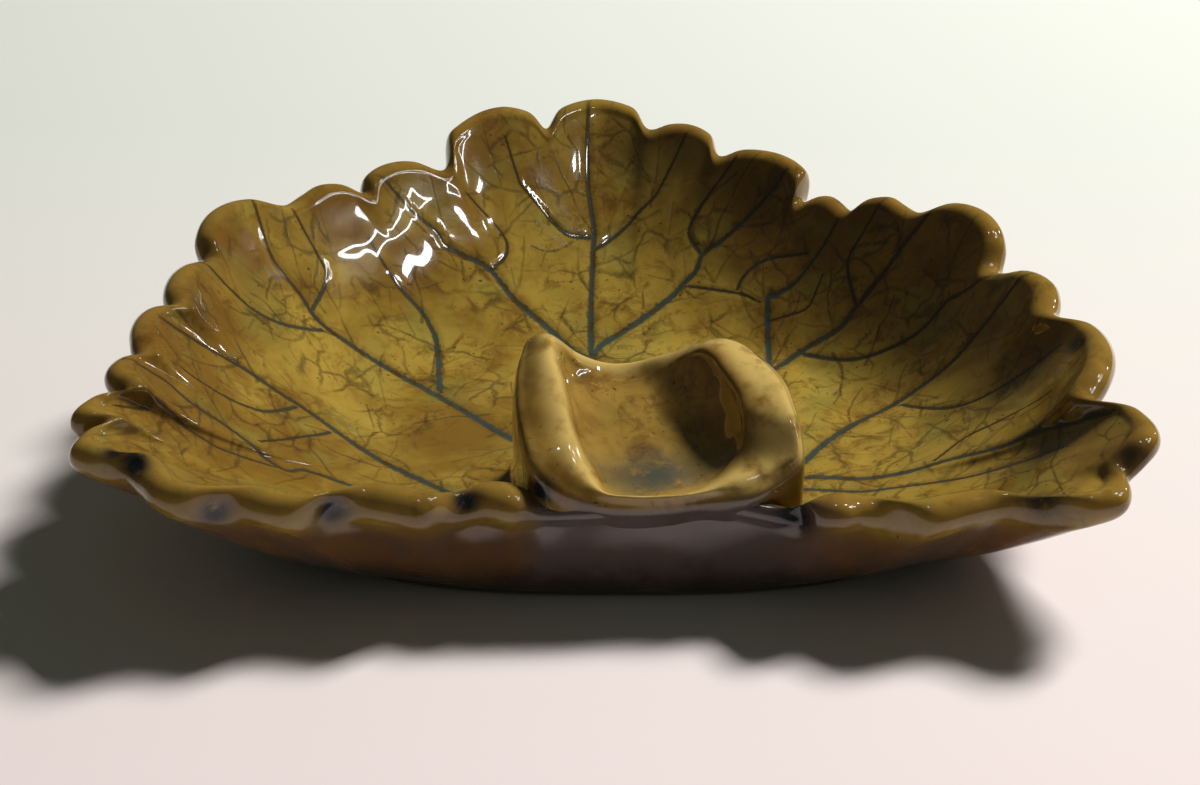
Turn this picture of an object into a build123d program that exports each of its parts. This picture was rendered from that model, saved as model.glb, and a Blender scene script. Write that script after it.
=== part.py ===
from build123d import *
import math
import os

# A leaf-shaped ring dish of glazed stoneware, in millimetres.
# +X runs to the right, +Y from the saddle on the front rim to the far lobe, +Z up.
# The origin is on the table, under the middle of the dish.

# Driving dimensions of the leaf
leaf_reach = 66.0          # from the middle of the leaf to its longest lobe, along the crest of the rim
rim_height = 24.0          # from the table to the highest tooth
floor_thickness = 4.5      # clay under the middle of the leaf
lip_thickness = 3.8        # the rounded edge of the slab
foot_round = 1.0           # soft edge between the foot and the wall

# Driving dimensions of the prints of the veins
vein_width = 1.3           # of a main vein where it leaves the stalk
vein_depth = 0.45

# Driving dimensions of the saddle rest
saddle_height = 24.0       # from the table to its back crests
saddle_root = 3.0          # the height that its clay would reach down to if the leaf weren't there
slip_thickness = 0.3       # joining clay between the saddle and the leaf
trough_height = 14.7       # from the table to the middle of the trough
shoulder_drop = 2.6        # from the crest of a ridge down to its outer shoulder
brow_drop = 1.0            # and down to the brow over the trough

# Shares of the leaf's reach that follow it when it grows or shrinks
foot_half_width_share = 0.59     # the flat that the dish stands on
foot_half_depth_share = 0.417
foot_setback_share = 0.045       # the foot lies in front of the middle of the leaf
saddle_right_share = 0.06        # the middle of the saddle from the middle of the leaf
saddle_front_share = 0.341
saddle_reach_share = 0.273       # from the middle of the saddle to its far corner

# Shapes of the curves
foot_power = 3.0           # 2 is an ellipse, more is squarer
belly_power = 1.45         # 1 is a straight wall, more is rounder under the lip
bowl_power = 1.7           # of the inside, from the level floor up to the lip
tooth_fade_power = 4.5     # how fast the teeth fade out below the lip
trough_fall = 0.28         # slope of the bottom of the trough towards the front

# The rim from the right of the saddle round to its left: direction in degrees, reach as a share of
# the leaf's reach and rise as a share of the rim's height. Notches and teeth take turns.
tooth_shares = (
    (299.5, 0.585, 0.58),
    (304.0, 0.630, 0.64),
    (308.5, 0.650, 0.62),
    (316.5, 0.770, 0.67),
    (322.0, 0.865, 0.66),
    (326.5, 0.975, 0.73),
    (329.0, 0.955, 0.77),
    (333.0, 0.980, 0.875),
    (339.5, 0.845, 0.83),
    (346.5, 0.860, 0.91),
    (358.5, 0.765, 0.87),
    (363.5, 0.775, 0.91),
    (370.5, 0.705, 0.87),
    (380.5, 0.735, 1.00),
    (393.0, 0.675, 0.88),
    (397.5, 0.660, 0.92),
    (401.0, 0.590, 0.87),
    (404.5, 0.580, 0.92),
    (407.5, 0.545, 0.90),
    (423.0, 0.645, 0.96),
    (430.5, 0.620, 0.92),
    (438.0, 0.685, 1.00),
    (443.5, 0.680, 0.96),
    (453.0, 0.785, 1.00),
    (461.5, 0.695, 0.96),
    (466.0, 0.775, 1.00),
    (483.0, 0.635, 0.91),
    (490.5, 0.680, 0.96),
    (499.0, 0.645, 0.91),
    (503.5, 0.705, 0.96),
    (509.0, 0.725, 0.91),
    (519.5, 0.795, 1.00),
    (529.5, 0.760, 0.92),
    (537.0, 0.790, 0.96),
    (542.5, 0.775, 0.92),
    (549.0, 0.840, 0.96),
    (554.5, 0.840, 0.92),
    (559.0, 0.895, 0.96),
    (561.5, 0.880, 0.92),
    (564.5, 0.975, 0.92),
    (566.0, 0.935, 0.875),
    (568.5, 1.000, 0.875),
    (572.5, 0.930, 0.83),
    (577.0, 0.920, 0.79),
    (581.0, 0.850, 0.75),
    (584.5, 0.785, 0.71),
    (589.0, 0.700, 0.69),
    (595.0, 0.630, 0.67),
    (602.5, 0.555, 0.625),
    (608.0, 0.525, 0.64),
    (615.5, 0.500, 0.57),
)
# The low bay of the rim under the front lip of the saddle, in the same shares.
bay_shares = (
    (622.0, 0.495, 0.56),
    (631.0, 0.485, 0.565),
    (641.0, 0.485, 0.56),
    (650.0, 0.505, 0.565),
)
# Main veins from the stalk outwards, as shares of the leaf's reach across and along.
vein_shares = (
    ((-0.035, -0.08), (-0.045, 0.24), (-0.045, 0.50), (-0.055, 0.70)),
    ((-0.070, 0.25), (-0.200, 0.385), (-0.300, 0.45), (-0.400, 0.485)),
    ((-0.020, 0.26), (0.110, 0.39), (0.210, 0.475), (0.275, 0.50)),
    ((-0.185, -0.07), (-0.390, 0.15), (-0.560, 0.20), (-0.660, 0.28)),
    ((0.060, 0.04), (0.280, 0.18), (0.460, 0.28), (0.580, 0.32)),
    ((-0.240, -0.28), (-0.350, -0.20), (-0.530, -0.05), (-0.740, -0.07)),
    ((0.330, -0.15), (0.390, -0.06), (0.520, 0.03), (0.700, 0.08)),
    ((-0.240, -0.33), (-0.400, -0.245), (-0.560, -0.265), (-0.780, -0.24)),
    ((0.340, -0.20), (0.520, -0.205), (0.670, -0.26), (0.770, -0.32)),
    ((0.295, 0.22), (0.295, 0.34), (0.340, 0.36), (0.380, 0.38)),
)
vein_tip_share = 0.55      # the width of a vein at its tip
vein_steps = 5             # straight stretches that it is made of

tooth_side_share = 0.42    # the fullest place of a tooth's side, between the notch and the tip
tooth_full_share = 0.72    # how much of the tooth it has there
smoothing_steps = 3        # points each side that even the teeth out

# Steps of the wall: from the foot to the lip, round the lip in degrees, and down to the floor.
wall_step_shares = (0.38, 0.76)
lip_turns = (-45.0, 15.0, 65.0, 115.0, 180.0)
bowl_step_shares = (0.84, 0.62, 0.34)
floor_share = 0.70         # the level floor, as a share of the foot

# The saddle, by direction in degrees about its middle: root, outer shoulder, crest and brow as
# shares of its reach, and the rise of the crest as a share of its height.
saddle_shares = (
    (10.0, 0.87, 0.84, 0.70, 0.50, 0.950),
    (24.0, 0.87, 0.80, 0.67, 0.48, 0.975),
    (38.0, 0.85, 0.76, 0.66, 0.49, 0.990),
    (52.0, 0.80, 0.70, 0.61, 0.49, 0.985),
    (66.0, 0.76, 0.68, 0.58, 0.49, 0.925),
    (81.0, 0.74, 0.67, 0.56, 0.48, 0.860),
    (98.0, 0.75, 0.68, 0.59, 0.50, 0.810),
    (117.0, 0.83, 0.76, 0.65, 0.56, 0.815),
    (130.0, 0.96, 0.88, 0.74, 0.66, 0.870),
    (140.0, 1.08, 1.01, 0.85, 0.75, 0.975),
    (152.0, 1.01, 0.96, 0.75, 0.67, 0.965),
    (166.0, 0.93, 0.90, 0.66, 0.58, 0.945),
    (182.0, 0.89, 0.87, 0.61, 0.53, 0.900),
    (198.0, 0.90, 0.87, 0.60, 0.52, 0.845),
    (213.0, 0.74, 0.90, 0.63, 0.53, 0.785),
    (225.0, 0.57, 0.88, 0.65, 0.53, 0.705),
    (240.0, 0.47, 0.66, 0.60, 0.50, 0.630),
    (258.0, 0.37, 0.52, 0.53, 0.44, 0.605),
    (280.0, 0.35, 0.51, 0.52, 0.44, 0.600),
    (300.0, 0.39, 0.58, 0.59, 0.49, 0.615),
    (314.0, 0.48, 0.70, 0.67, 0.54, 0.650),
    (326.0, 0.68, 0.90, 0.81, 0.60, 0.690),
    (336.0, 0.96, 1.00, 0.92, 0.63, 0.760),
    (344.0, 0.94, 0.95, 0.85, 0.60, 0.850),
    (356.0, 0.89, 0.88, 0.76, 0.55, 0.910),
)

# Steps of the trough, from the brow to its bottom.
trough_step_shares = (0.80, 0.55, 0.30)
trough_power = 4.0


def foot_radius(direction):
    """Distance from the middle of the leaf to the edge of the foot."""
    across = math.cos(direction)
    along = math.sin(direction)
    half_width = foot_half_width_share * leaf_reach
    half_depth = foot_half_depth_share * leaf_reach
    setback = foot_setback_share * leaf_reach
    low, high = 0.0, leaf_reach
    for _ in range(40):
        middle = (low + high) / 2
        x_share = abs(middle * across) / half_width
        y_share = abs(middle * along + setback) / half_depth
        if x_share ** foot_power + y_share ** foot_power < 1:
            low = middle
        else:
            high = middle
    return low


def spacing(directions, reaches):
    """Places along a ring, the same for every ring of a piece."""
    places = [0.0]
    for index, reach in enumerate(reaches):
        after = (index + 1) % len(reaches)
        here = (reach * math.cos(directions[index]), reach * math.sin(directions[index]))
        there = (reaches[after] * math.cos(directions[after]), reaches[after] * math.sin(directions[after]))
        places.append(places[-1] + math.dist(here, there) / max(reaches))
    return places


def ring(directions, radii, heights, places, middle=(0.0, 0.0)):
    """Closed curve through one point in each direction about the middle."""
    points = []
    for direction, radius, height in zip(directions, radii, heights):
        points.append((middle[0] + radius * math.cos(direction), middle[1] + radius * math.sin(direction), height))
    return Wire([Edge.make_spline(points, parameters=places, periodic=True)])


def rim():
    """Directions, reaches and heights of the points round the rim's crest."""
    rows = []
    for index, row in enumerate(tooth_shares[:-1]):
        after = tooth_shares[index + 1]
        notch, tip = (row, after) if index % 2 == 0 else (after, row)
        side_shares = (tooth_side_share, tooth_full_share, tooth_full_share)
        rows.append(row)
        rows.append([low + (high - low) * share for low, high, share in zip(notch, tip, side_shares)])
    rows.append(tooth_shares[-1])
    rows.extend(bay_shares)
    directions = [math.radians(row[0]) for row in rows]
    reaches = [row[1] * leaf_reach for row in rows]
    heights = [row[2] * rim_height for row in rows]
    return directions, reaches, heights


def without_teeth(reaches):
    """The reaches evened out over the neighbouring points."""
    count = len(reaches)
    even = []
    for index in range(count):
        near = [reaches[(index + step) % count] for step in range(-smoothing_steps, smoothing_steps + 1)]
        even.append(sum(near) / len(near))
    return even


def leaf_slab(skin=0.0):
    """The slab of clay without its prints: up from the foot, round the lip and down to the floor."""
    directions, reaches, heights = rim()
    count = len(reaches)
    even = without_teeth(reaches)
    feet = [foot_radius(direction) for direction in directions]
    toes = [foot + foot_round + skin for foot in feet]
    inners = [foot * floor_share for foot in feet]
    floor = floor_thickness + skin
    places = spacing(directions, reaches)
    half_lip = lip_thickness / 2
    lip_radius = half_lip + skin
    under = math.radians(lip_turns[0])
    lip_bottoms = [height - half_lip + lip_radius * math.sin(under) for height in heights]

    def edge(index, share):
        return even[index] + (reaches[index] - even[index]) * share ** tooth_fade_power

    rings = [(feet, [0.0] * count), (toes, [foot_round] * count)]
    for share in wall_step_shares:
        radii = [toe + (edge(i, share) + lip_radius * math.cos(under) - toe) * share for i, toe in enumerate(toes)]
        rises = [foot_round + (bottom - foot_round) * share ** belly_power for bottom in lip_bottoms]
        rings.append((radii, rises))
    for degrees in lip_turns:
        turn = math.radians(degrees)
        radii = [reach + lip_radius * math.cos(turn) for reach in reaches]
        rises = [height - half_lip + lip_radius * math.sin(turn) for height in heights]
        rings.append((radii, rises))
    for share in bowl_step_shares:
        radii = [inner + (edge(i, share) - lip_radius - inner) * share for i, inner in enumerate(inners)]
        rises = [floor + (height - half_lip - floor) * share ** bowl_power for height in heights]
        rings.append((radii, rises))
    rings.append((inners, [floor] * count))
    return Solid.make_loft([ring(directions, radii, rises, places) for radii, rises in rings], ruled=True)


def vein_groove(slab, places):
    """The print of one vein: a V that follows the leaf's surface and narrows to its tip."""
    plan = Spline(*[(across * leaf_reach, along * leaf_reach) for across, along in places])
    sections = []
    for step in range(vein_steps + 1):
        share = step / vein_steps
        place = plan.position_at(share)
        upright = Axis((place.X, place.Y, 0), (0, 0, 1))
        surface = max(point.Z for point, _ in slab.find_intersection_points(upright))
        taper = 1 - (1 - vein_tip_share) * share
        side = plan.tangent_at(share).rotate(Axis.Z, 90) * vein_width * taper
        depth = vein_depth * taper
        left = (place.X - side.X, place.Y - side.Y, surface + depth)
        right = (place.X + side.X, place.Y + side.Y, surface + depth)
        sections.append(Wire.make_polygon([left, (place.X, place.Y, surface - depth), right]))
    return Solid.make_loft(sections, ruled=True)


def leaf_dish():
    """The slab with the prints of the leaf's main veins."""
    slab = leaf_slab()
    return slab - [vein_groove(slab, places) for places in vein_shares]


def saddle_rest():
    """The saddle across the low bay of the front rim: up its sides, over the ridges, down the trough."""
    count = len(saddle_shares)
    directions = [math.radians(row[0]) for row in saddle_shares]
    reach = saddle_reach_share * leaf_reach
    roots, shoulders, crests, brows = ([row[i] * reach for row in saddle_shares] for i in range(1, 5))
    heights = [row[5] * saddle_height for row in saddle_shares]
    places = spacing(directions, crests)
    middle = (saddle_right_share * leaf_reach, -saddle_front_share * leaf_reach)

    def bottom(index, radius):
        return trough_height + trough_fall * radius * math.sin(directions[index])

    def saddle_ring(radii, rises):
        return ring(directions, radii, rises, places, middle)

    shoulder_heights = [height - shoulder_drop for height in heights]
    brow_heights = [height - brow_drop for height in heights]
    rings = [
        saddle_ring(roots, [saddle_root] * count),
        saddle_ring([(2 * roots[i] + shoulders[i]) / 3 for i in range(count)],
                    [(saddle_root + shoulder_heights[i]) / 2 for i in range(count)]),
        saddle_ring(shoulders, shoulder_heights),
        saddle_ring([(2 * shoulders[i] + crests[i]) / 3 for i in range(count)],
                    [heights[i] - shoulder_drop / 3 for i in range(count)]),
        saddle_ring(crests, heights),
        saddle_ring(brows, brow_heights),
    ]
    for share in trough_step_shares:
        radii = [brow * share for brow in brows]
        rises = []
        for i in range(count):
            low = bottom(i, radii[i])
            rises.append(low + (brow_heights[i] - bottom(i, brows[i])) * share ** trough_power)
        if share == trough_step_shares[-1]:
            rises = [bottom(i, radii[i]) for i in range(count)]
        rings.append(saddle_ring(radii, rises))
    seated = Solid.make_loft(rings, ruled=True) - leaf_slab(slip_thickness)
    return seated.solids().sort_by(SortBy.VOLUME)[-1]


def main():
    os.makedirs("parts", exist_ok=True)
    dish = leaf_dish()
    saddle = saddle_rest()
    box = dish.bounding_box()
    home = Location((-(box.min.X + box.max.X) / 2, -(box.min.Y + box.max.Y) / 2, 0))
    for name, solid in (("leaf_dish", dish), ("saddle_rest", saddle)):
        placed = solid.moved(home)
        placed.label = name
        export_step(placed, f"parts/{name}.step")


main()
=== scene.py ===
import bpy
import bmesh
import math
import numpy as np
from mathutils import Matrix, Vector, kdtree


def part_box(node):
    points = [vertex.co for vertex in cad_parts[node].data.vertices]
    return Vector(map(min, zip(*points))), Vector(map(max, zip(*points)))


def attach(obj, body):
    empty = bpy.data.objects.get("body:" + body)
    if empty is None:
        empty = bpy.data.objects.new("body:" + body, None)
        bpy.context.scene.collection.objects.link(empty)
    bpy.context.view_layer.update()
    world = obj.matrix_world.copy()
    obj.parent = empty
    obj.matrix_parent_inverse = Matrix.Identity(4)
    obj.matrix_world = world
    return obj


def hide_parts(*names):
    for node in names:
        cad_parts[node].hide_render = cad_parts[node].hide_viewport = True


# Ring dish pressed from a leaf, with a saddle of clay across its front rim.
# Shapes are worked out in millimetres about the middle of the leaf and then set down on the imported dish.

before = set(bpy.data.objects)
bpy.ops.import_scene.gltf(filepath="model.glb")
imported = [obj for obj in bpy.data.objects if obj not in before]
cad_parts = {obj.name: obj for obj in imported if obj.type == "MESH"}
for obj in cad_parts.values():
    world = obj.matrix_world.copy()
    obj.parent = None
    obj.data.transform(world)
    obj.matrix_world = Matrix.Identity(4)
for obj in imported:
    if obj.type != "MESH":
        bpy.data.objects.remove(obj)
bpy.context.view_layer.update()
mm = 0.001
scene = bpy.context.scene
print("frame loaded")


# small helpers

def tone(red, green, blue):
    # screen values from 0 to 255, as the light they stand for
    out = []
    for value in (red, green, blue):
        value /= 255
        out.append(value / 12.92 if value <= 0.04045 else ((value + 0.055) / 1.055) ** 2.4)
    return (*out, 1.0)


def easeBetween(low, high, value):
    share = np.clip((value - low) / (high - low), 0, 1)
    return share * share * (3 - 2 * share)


def alongLoop(points):
    # how far along the loop each point lies, and the whole way round at the end
    steps = np.linalg.norm(np.roll(points, -1, axis=0) - points, axis=1)
    return np.concatenate([[0], np.cumsum(steps)])


def readLoop(points, places, spots):
    # a closed smooth curve through the points, read at the spots
    steps = np.diff(places)
    slopes = (np.roll(points, -1, axis=0) - points) / steps[:, None]
    before = np.roll(steps, 1)
    tangents = (slopes * before[:, None] + np.roll(slopes, 1, axis=0) * steps[:, None]) / (before + steps)[:, None]
    at = np.clip(np.searchsorted(places, spots, side="right") - 1, 0, len(points) - 1)
    after = (at + 1) % len(points)
    width = steps[at][:, None]
    u = ((spots - places[at]) / steps[at])[:, None]
    return ((2 * u ** 3 - 3 * u ** 2 + 1) * points[at] + (u ** 3 - 2 * u ** 2 + u) * width * tangents[at]
            + (3 * u ** 2 - 2 * u ** 3) * points[after] + (u ** 3 - u ** 2) * width * tangents[after])


def readLine(rows, spots):
    # an open smooth curve through the rows, one row per whole number of the spot
    rows = np.asarray(rows)
    last = len(rows) - 1
    at = np.clip(np.floor(spots).astype(int), 0, last - 1)
    u = (spots - at).reshape(-1, *([1] * (rows.ndim - 1)))
    before, here, there, after = (rows[np.clip(at + step, 0, last)] for step in (-1, 0, 1, 2))
    return 0.5 * (2 * here + (there - before) * u + (2 * before - 5 * here + 4 * there - after) * u ** 2
                  + (3 * here - before - 3 * there + after) * u ** 3)


def roundBlank(name, rings, spokes):
    # a ball of clay, spun from half a circle, with one ring for each row of the shape
    clay = bmesh.new()
    profile = []
    for ring in range(rings):
        turn = math.pi * ring / (rings - 1)
        profile.append(clay.verts.new((math.sin(turn), 0, -math.cos(turn))))
    edges = [clay.edges.new((a, b)) for a, b in zip(profile, profile[1:])]
    bmesh.ops.spin(clay, geom=profile + edges, cent=(0, 0, 0), axis=(0, 0, 1), dvec=(0, 0, 0),
                   angle=2 * math.pi, steps=spokes, use_merge=True, use_duplicate=False)
    bmesh.ops.remove_doubles(clay, verts=clay.verts, dist=1e-6)
    return clay


def shapeClay(clay, shape, home):
    # every vertex of the blank goes to its ring and spoke in the shape
    rings, spokes = shape.shape[:2]
    clay.verts.ensure_lookup_table()
    seats = []
    for vert in clay.verts:
        turn = math.acos(max(-1.0, min(1.0, -vert.co.z)))
        ring = round(turn / math.pi * (rings - 1))
        spoke = round(math.atan2(vert.co.y, vert.co.x) / (2 * math.pi) * spokes) % spokes
        seats.append((ring, spoke))
    for vert, (ring, spoke) in zip(clay.verts, seats):
        vert.co = (Vector(shape[ring, spoke]) + home) * mm
    bmesh.ops.recalc_face_normals(clay, faces=clay.faces)
    return seats


def finishPiece(clay, name, material):
    mesh = bpy.data.meshes.new(name)
    clay.to_mesh(mesh)
    clay.free()
    mesh.polygons.foreach_set("use_smooth", [True] * len(mesh.polygons))
    mesh.materials.append(material)
    piece = bpy.data.objects.new(name, mesh)
    scene.collection.objects.link(piece)
    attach(piece, "root")
    return piece


def outwards(shape):
    # the direction out of the clay at every place of the shape
    across = np.roll(shape, -1, axis=1) - np.roll(shape, 1, axis=1)
    along = np.zeros_like(shape)
    along[1:-1] = shape[2:] - shape[:-2]
    along[0] = shape[1] - shape[0]
    along[-1] = shape[-1] - shape[-2]
    out = np.cross(across, along)
    size = np.linalg.norm(out, axis=2, keepdims=True)
    return out / np.maximum(size, 1e-9)


def wobble(shape, size, seed):
    # soft unevenness of hand work, from about -1 to 1: waves of nearly one length from all sides
    chance = np.random.default_rng(seed)
    ways = chance.normal(size=(14, 3))
    ways *= (chance.uniform(0.6, 1.4, 14) / np.linalg.norm(ways, axis=1))[:, None]
    starts = chance.uniform(0, 2 * math.pi, 14)
    return np.sin(shape @ ways.T * (2 * math.pi / (size * 2)) + starts).sum(-1) / 4.5


# the leaf dish, in millimetres; its directions count from the right side, one turn further on than 0 to 360
dish = {
    "reach": 66.0, "rim": 24.0, "floor": 4.5, "lip": 3.8,
    "footWide": 39.0, "footDeep": 27.5, "footBack": 3.0, "footRound": 1.0, "footPower": 3.0, "bellyPower": 1.45,
    "floorShare": 0.70, "bowlPower": 1.62, "rightSteep": 0.55, "rightWide": 28.0,
    "toothFade": 5.0, "innerFade": 12.0,                      # how soon the teeth are lost, outside and inside
    "evenOver": 9, "evenInside": 20,                          # over how many spokes the teeth are shared out
    "sightFall": 0.577, "sightLeast": -0.4, "sightMost": 5.0,  # the photograph looks down at 30 degrees
    "lipUnder": -45, "lipOver": 150,                          # where the lip's round starts and ends, in degrees
    "roll": (560, 585, 672, 690), "rollMore": 0.28,           # where the lip is thicker, and by how much
    "bay": (610, 617, 658, 666), "bayLip": 0.45,              # where the saddle sits, and how much thinner the lip is
    "spokes": 640, "footRings": 4, "toeRings": 4, "bellyRings": 22, "lipRings": 20, "insideRings": 75, "floorRings": 21,
    "printsFrom": 14,                                         # the ring of the lip from which the veins are printed
}

# direction, and the shares of reach and rise, round the rim: notches and teeth take turns
toothShares = (
    (299.5, 0.580, 0.56), (304.0, 0.630, 0.64), (308.5, 0.650, 0.62), (316.5, 0.770, 0.67), (322.0, 0.865, 0.66),
    (326.5, 0.975, 0.73), (329.0, 0.955, 0.77), (333.0, 0.980, 0.875), (339.5, 0.845, 0.83), (346.5, 0.860, 0.91),
    (358.5, 0.765, 0.87), (363.5, 0.775, 0.91), (370.5, 0.705, 0.87), (380.5, 0.735, 1.00), (393.0, 0.675, 0.88),
    (397.5, 0.660, 0.92), (401.0, 0.590, 0.87), (404.5, 0.580, 0.92), (407.5, 0.545, 0.90), (423.0, 0.645, 0.96),
    (430.5, 0.620, 0.92), (438.0, 0.685, 1.00), (443.5, 0.680, 0.96), (453.0, 0.785, 1.00), (461.5, 0.695, 0.96),
    (466.0, 0.775, 1.00), (483.0, 0.635, 0.91), (490.5, 0.680, 0.96), (499.0, 0.645, 0.91), (503.5, 0.705, 0.96),
    (509.0, 0.725, 0.91), (519.5, 0.795, 1.00), (529.5, 0.760, 0.92), (537.0, 0.790, 0.96), (542.5, 0.775, 0.92),
    (549.0, 0.840, 0.96), (554.5, 0.840, 0.92), (559.0, 0.895, 0.96), (561.5, 0.880, 0.92), (564.5, 0.975, 0.92),
    (566.0, 0.935, 0.875), (568.5, 1.000, 0.875), (572.5, 0.930, 0.83), (577.0, 0.920, 0.79), (581.0, 0.850, 0.75),
    (584.5, 0.785, 0.71), (589.0, 0.700, 0.69), (595.0, 0.630, 0.67), (602.5, 0.555, 0.625), (608.0, 0.525, 0.64),
    (615.5, 0.497, 0.55),
)
bayShares = ((622.0, 0.495, 0.56), (631.0, 0.485, 0.565), (641.0, 0.485, 0.56), (650.0, 0.505, 0.565))


def footReach(direction):
    # how far the foot's rounded oblong reaches in a direction
    low, high = 0.0, dish["reach"]
    for _ in range(40):
        middle = (low + high) / 2
        wide = abs(middle * math.cos(direction)) / dish["footWide"]
        deep = abs(middle * math.sin(direction) + dish["footBack"]) / dish["footDeep"]
        if wide ** dish["footPower"] + deep ** dish["footPower"] < 1:
            low = middle
        else:
            high = middle
    return low


halfwayShares = (0.42, 0.72, 0.72)    # between a notch and a tip the rim bulges outwards and upwards
rimRows = []
for index, row in enumerate(toothShares[:-1]):
    after = toothShares[index + 1]
    notch, tip = (row, after) if index % 2 == 0 else (after, row)
    rimRows.append(row)
    rimRows.append(tuple(low + (high - low) * share for low, high, share in zip(notch, tip, halfwayShares)))
rimRows.append(toothShares[-1])
rimRows.extend(bayShares)
rimRows = np.array(rimRows)
rimTurns = np.radians(rimRows[:, 0])
rimReach = rimRows[:, 1] * dish["reach"]
rimRise = rimRows[:, 2] * dish["rim"]
rimPlan = np.stack([rimReach * np.cos(rimTurns), rimReach * np.sin(rimTurns)], axis=1)
rimPlaces = alongLoop(rimPlan)
spokeSpots = rimPlaces[-1] * np.arange(dish["spokes"]) / dish["spokes"]
crest = readLoop(np.concatenate([rimPlan, rimRise[:, None]], axis=1), rimPlaces, spokeSpots)


def evenOut(line, over):
    # every place is shared out over its neighbours, so that the teeth go and the lobes stay
    steps = np.arange(-3 * over, 3 * over + 1)
    weights = np.exp(-(steps / over) ** 2 / 2)
    return sum(np.roll(line, step, axis=0) * weight for step, weight in zip(steps, weights)) / weights.sum()


def bowlPower(turn):
    # how the inside climbs from the floor to the rim: more steeply on the right
    return dish["bowlPower"] + dish["rightSteep"] * np.exp(-(np.degrees(turn) / dish["rightWide"]) ** 2)


def bowlUnder(line):
    # directions of the rim, the foot below it, its own reach and rise, and those of an even bowl without teeth
    turn = np.arctan2(line[:, 1], line[:, 0])
    foot = np.array([footReach(way) for way in turn])
    own = np.stack([np.linalg.norm(line[:, :2], axis=1), line[:, 2]], axis=1)
    calm = evenOut(np.maximum(own, evenOut(own, dish["evenInside"])), dish["evenOver"])
    return turn, foot, own, calm


def layOnBowl(line):
    # behind, the rim is cut out of one even bowl: each place goes along the line of sight until it lies on that bowl
    for _ in range(2):
        turn, foot, own, calm = bowlUnder(line)
        inner, power = foot * dish["floorShare"], bowlPower(turn)
        low, high = np.full(len(line), dish["sightLeast"]), np.full(len(line), dish["sightMost"])
        for _ in range(30):
            middle = (low + high) / 2
            share = (np.hypot(line[:, 0], line[:, 1] + middle) - inner) / (calm[:, 0] - inner)
            bowl = dish["floor"] + (calm[:, 1] - dish["floor"]) * share ** power
            above = own[:, 1] - middle * dish["sightFall"] - bowl
            low, high = np.where(above > 0, middle, low), np.where(above > 0, high, middle)
        shift = (low + high) / 2 * easeBetween(-0.05, 0.40, np.sin(turn))
        line = line + shift[:, None] * np.array((0, 1, -dish["sightFall"]))
    return line


# how deep each place of the rim lies in a notch
shallow = np.linalg.norm(evenOut(crest, dish["evenOver"])[:, :2], axis=1) - np.linalg.norm(crest[:, :2], axis=1)
crest = layOnBowl(crest)
print("rim laid on the bowl")


def shapeDish():
    # rings from the middle of the foot out, up the wall, over the lip and down to the middle of the floor
    turn, foot, own, calm = bowlUnder(crest)
    ways = np.stack([np.cos(turn), np.sin(turn)], axis=1)
    reach, rise = own.T
    evenReach = np.linalg.norm(evenOut(crest, dish["evenOver"])[:, :2], axis=1)
    toe, inner = foot + dish["footRound"], foot * dish["floorShare"]
    around = np.degrees(turn) % 360 + 360

    def stretch(name):
        # 1 between the two middle directions and 0 beyond the outer two
        start, full, last, end = dish[name]
        return easeBetween(start, full, around) * (1 - easeBetween(last, end, around))

    bay = stretch("bay")
    half = dish["lip"] / 2 * (1 + dish["rollMore"] * stretch("roll")) * (1 - dish["bayLip"] * bay)
    under, over = math.radians(dish["lipUnder"]), math.radians(dish["lipOver"])

    def circle(radii, rises):
        return np.concatenate([ways * (radii + 0 * turn)[:, None], (rises + 0 * turn)[:, None]], axis=1)

    rows = [circle(foot * share, 0.0) for share in np.linspace(0, 1, dish["footRings"] + 1)[:-1]]
    for tilt in np.linspace(0, math.pi / 2, dish["toeRings"]):
        rows.append(circle(foot + dish["footRound"] * math.sin(tilt), dish["footRound"] * (1 - math.cos(tilt))))
    for share in np.linspace(0, 1, dish["bellyRings"] + 2)[1:-1]:
        edge = evenReach + (reach - evenReach) * share ** dish["toothFade"] + half * math.cos(under)
        bottom = rise - half + half * math.sin(under)
        rows.append(circle(toe + (edge - toe) * share,
                           dish["footRound"] + (bottom - dish["footRound"]) * share ** dish["bellyPower"]))
    for tilt in np.linspace(under, over, dish["lipRings"]):
        rows.append(circle(reach + half * math.cos(tilt), rise - half + half * math.sin(tilt)))

    # the inside is one even bowl, and the teeth only cut its edge
    power = bowlPower(turn)
    calmEdge, calmTop = calm[:, 0] + half * math.cos(over), calm[:, 1] - half + half * math.sin(over)
    edge, top = reach + half * math.cos(over), rise - half + half * math.sin(over)

    def bowl(radii):
        return dish["floor"] + (calmTop - dish["floor"]) * ((radii - inner) / (calmEdge - inner)) ** power

    for share in np.linspace(1, 0, dish["insideRings"] + 1)[1:]:
        radii = inner + (edge - inner) * share
        rows.append(circle(radii, bowl(radii) + (top - bowl(edge)) * share ** dish["innerFade"]))
    for share in np.linspace(1, 0, dish["floorRings"] + 1)[1:]:
        rows.append(circle(inner * share, dish["floor"]))
    return np.array(rows), bay


dishShape, bayShare = shapeDish()
lipFrom = dish["footRings"] + dish["toeRings"] + dish["bellyRings"]
insideFrom = lipFrom + dish["printsFrom"]
print("dish rings", dishShape.shape)

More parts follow.
